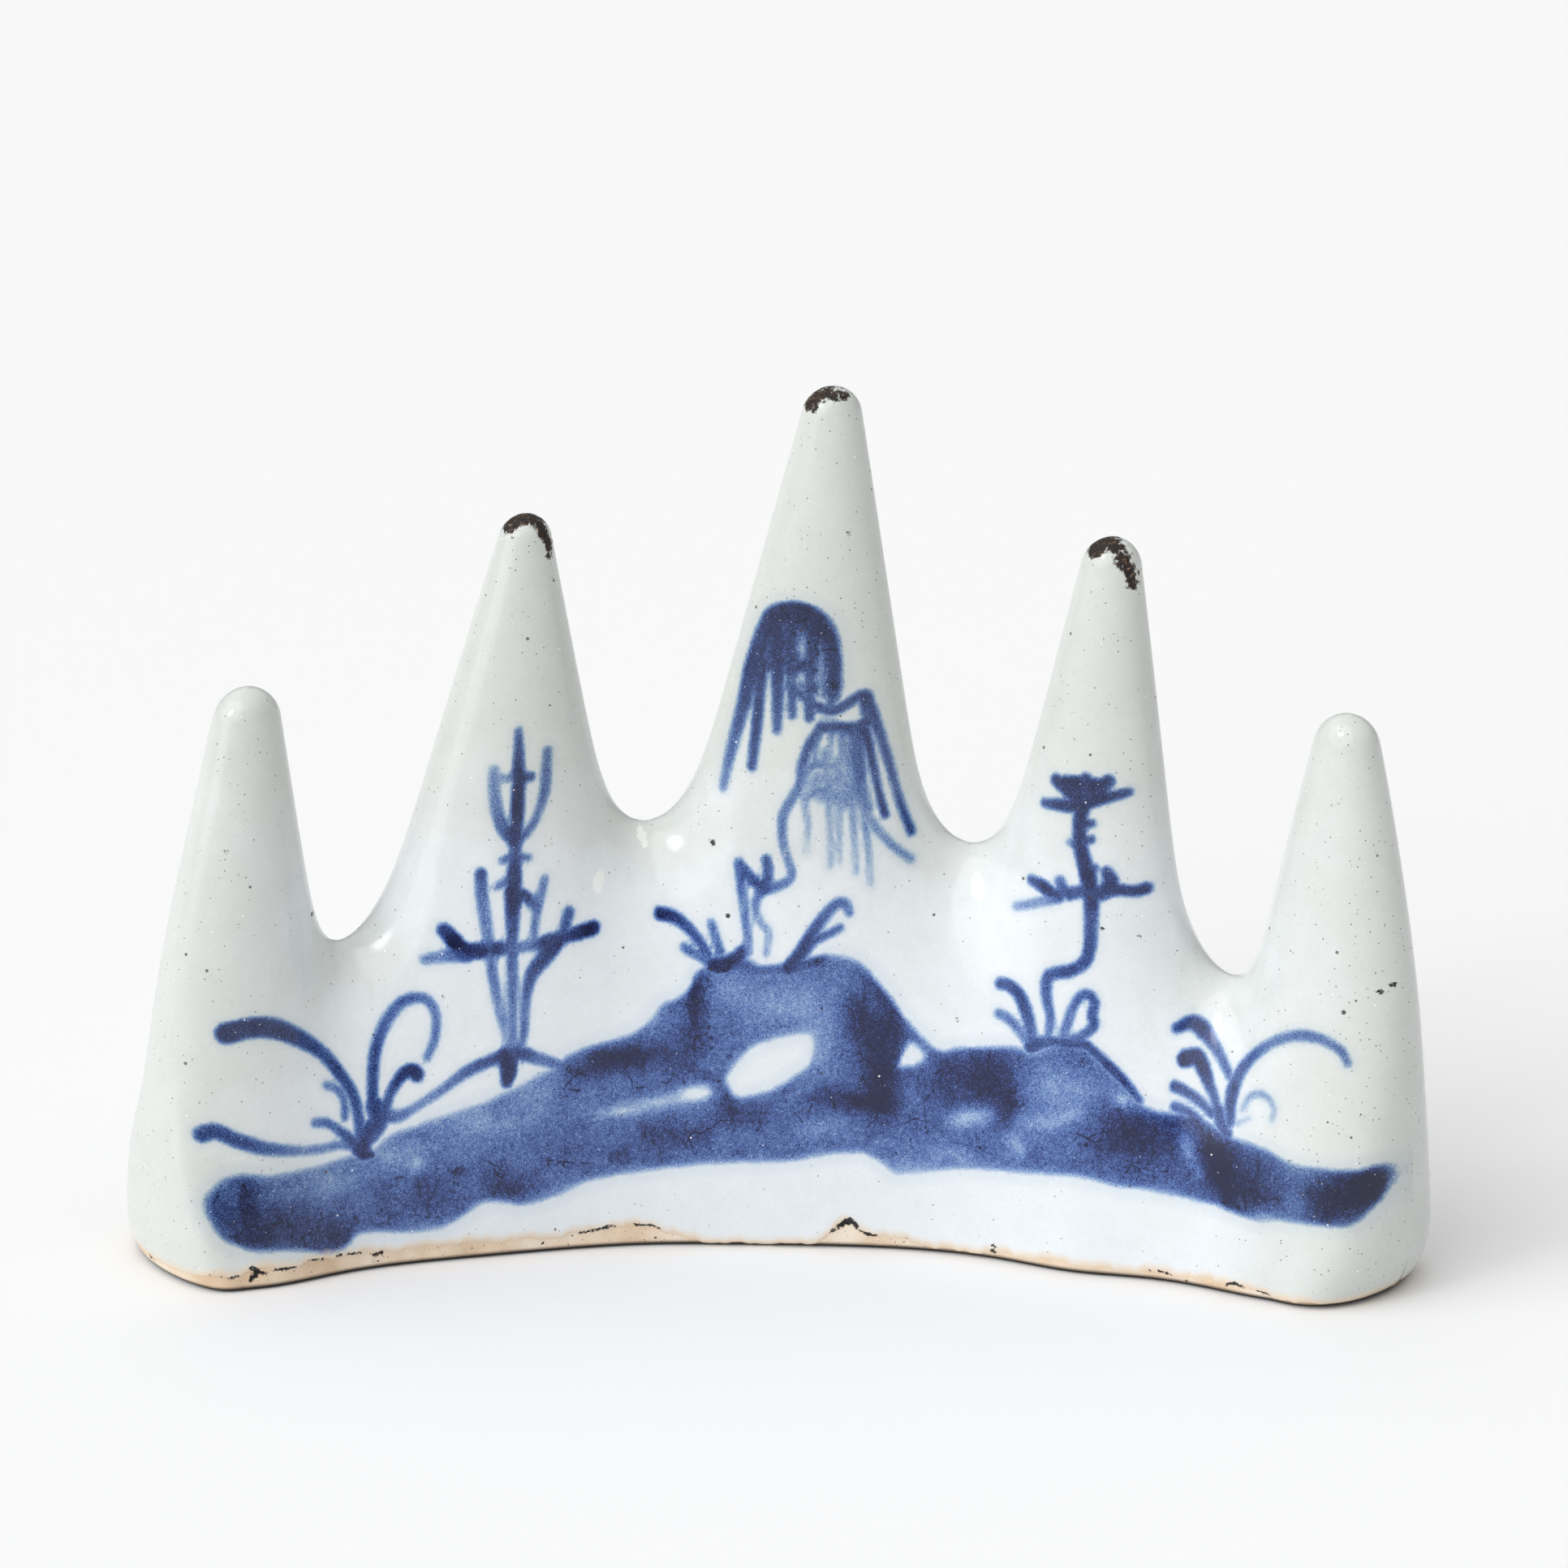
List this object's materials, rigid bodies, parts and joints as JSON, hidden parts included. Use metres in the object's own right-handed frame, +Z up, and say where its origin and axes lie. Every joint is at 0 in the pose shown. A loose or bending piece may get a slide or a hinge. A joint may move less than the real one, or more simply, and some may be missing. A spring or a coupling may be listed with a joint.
{
  "type": "brush rest",
  "caption": "Bowed porcelain brush rest shaped like a mountain range, with rounded valleys between tall peaks that hold writing brushes.",
  "frame": {"origin": "on the surface that the rest stands on, under the middle of its outline seen from above", "axes": "+X along the rest to the right as the painted front is seen, +Y from the painted front to the back, +Z up"},
  "size_m": [0.1526, 0.0426, 0.1025],
  "materials": {
    "bare_clay": "unglazed biscuit, dry and slightly gritty",
    "base_clay": "unglazed biscuit, scraped flat",
    "glaze": "clear gloss glaze over cobalt brush painting"
  },
  "bodies": {
    "root": {"front_half": "bare_clay", "back_half": "bare_clay", "base_slab": "base_clay", "glaze_coat": "glaze"}
  },
  "joints": []
}
